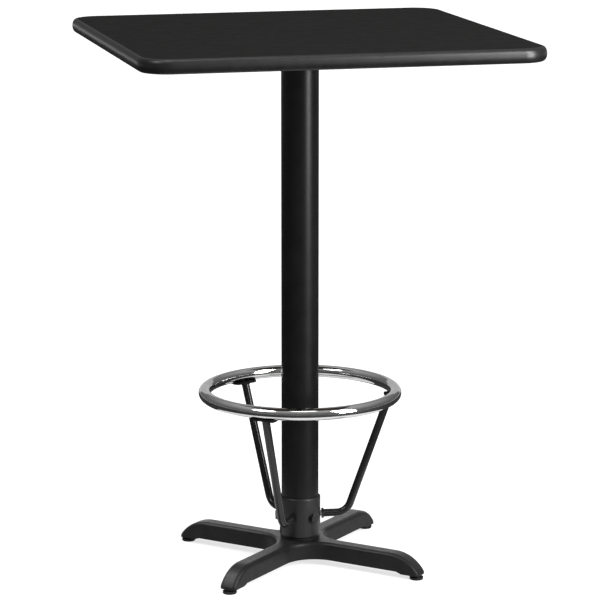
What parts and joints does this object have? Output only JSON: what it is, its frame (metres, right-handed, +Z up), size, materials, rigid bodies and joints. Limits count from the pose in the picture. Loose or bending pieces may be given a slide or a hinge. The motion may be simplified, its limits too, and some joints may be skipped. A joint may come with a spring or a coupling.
{
  "type": "pub table",
  "caption": "Bar-height pub table: square black laminate top on a round black column, a cross-shaped cast base with levelling glides, and a chrome foot ring on bent struts.",
  "frame": {"origin": "On the floor, under the centre of the column, midway between the glides.", "axes": "+Z is up. X and Y run along the sides of the square top, -Y is the front side, and the legs point to the corners of the top."},
  "size_m": [0.8, 0.8, 1.0954],
  "materials": {
    "laminate": "matte",
    "particleboard": "matte",
    "backer": "matte",
    "edge_vinyl": "satin",
    "black_steel": "satin",
    "black_iron": "satin",
    "chrome": "polished",
    "zinc_steel": "satin",
    "black_nylon": "matte"
  },
  "bodies": {
    "table": {"top_core": "particleboard", "top_laminate": "laminate", "backer_sheet": "backer", "edge_moulding": "edge_vinyl", "top_spider": "black_steel", "spider_screws": "zinc_steel", "column_tube": "black_steel", "tie_rod": "zinc_steel", "rod_plate_washer": "zinc_steel", "rod_spring_washer": "zinc_steel", "rod_nut": "zinc_steel", "x_base": "black_iron"},
    "foot_ring_unit": {"collar": "black_steel", "collar_set_screws": "black_steel", "strut_studs": "zinc_steel", "strut_lock_nuts": "black_steel", "bracket_screws": "black_steel", "foot_ring": "chrome", "strut_right": "black_steel", "strut_rear": "black_steel", "strut_front": "black_steel", "ring_bracket_right": "black_steel", "ring_bracket_rear": "black_steel", "ring_bracket_front": "black_steel"},
    "glide_front_left": {"glide_pad_front_left": "black_nylon", "glide_stud_front_left": "zinc_steel"},
    "glide_front_right": {"glide_pad_front_right": "black_nylon", "glide_stud_front_right": "zinc_steel"},
    "glide_rear_right": {"glide_pad_rear_right": "black_nylon", "glide_stud_rear_right": "zinc_steel"},
    "glide_rear_left": {"glide_pad_rear_left": "black_nylon", "glide_stud_rear_left": "zinc_steel"}
  },
  "joints": [
    {"name": "foot_ring_slide", "type": "slide", "parent": "table", "child": "foot_ring_unit", "axis": [0, 0, 1], "range_m": [0, 0.688]},
    {"name": "glide_front_left_screw", "type": "slide", "parent": "table", "child": "glide_front_left", "axis": [0, 0, -1], "range_m": [0, 0.006]},
    {"name": "glide_front_right_screw", "type": "slide", "parent": "table", "child": "glide_front_right", "axis": [0, 0, -1], "range_m": [0, 0.006]},
    {"name": "glide_rear_right_screw", "type": "slide", "parent": "table", "child": "glide_rear_right", "axis": [0, 0, -1], "range_m": [0, 0.006]},
    {"name": "glide_rear_left_screw", "type": "slide", "parent": "table", "child": "glide_rear_left", "axis": [0, 0, -1], "range_m": [0, 0.006]}
  ]
}
